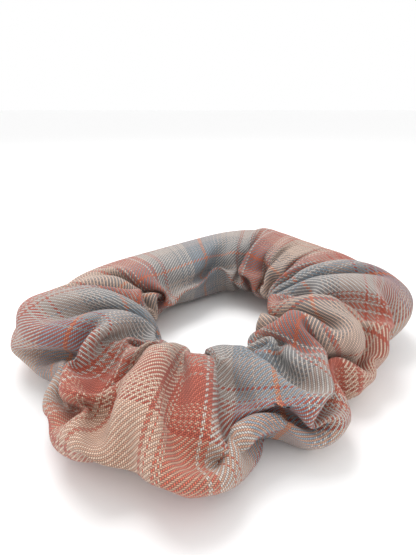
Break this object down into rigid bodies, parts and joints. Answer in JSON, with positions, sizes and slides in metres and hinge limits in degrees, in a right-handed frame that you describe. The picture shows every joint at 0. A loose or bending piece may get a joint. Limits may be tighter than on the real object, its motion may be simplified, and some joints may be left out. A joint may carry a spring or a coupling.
{
  "type": "scrunchie",
  "caption": "Gathered fabric hair tie: a puckered twill cloth tube sewn round a flat braided elastic loop that stretches open.",
  "frame": {"origin": "centre of the ring's box, on the surface it lies on", "axes": "+Z along the ring's axis, through the hair opening; +X across the ring, the way it is stretched; +Y towards the closing seam's side"},
  "size_m": [0.1067, 0.1081, 0.023],
  "materials": {
    "plaid_twill": "soft twill weave in brick red, cream, pale grey and blue grey with thin orange lines",
    "elastic": "matt flat braid",
    "thread": "spun polyester sewing thread"
  },
  "bodies": {
    "left_half": {"cover_left": "plaid_twill", "elastic_left": "elastic", "long_seam_stitches_left": "thread"},
    "right_half": {"cover_right": "plaid_twill", "elastic_right": "elastic", "elastic_join_stitches": "thread", "long_seam_stitches_right": "thread", "closing_seam_stitches": "thread"}
  },
  "joints": [
    {"name": "stretch", "type": "slide", "parent": "left_half", "child": "right_half", "axis": [1, 0, 0], "range_m": [0, 0.045], "stiffness_N_per_m": 100}
  ]
}
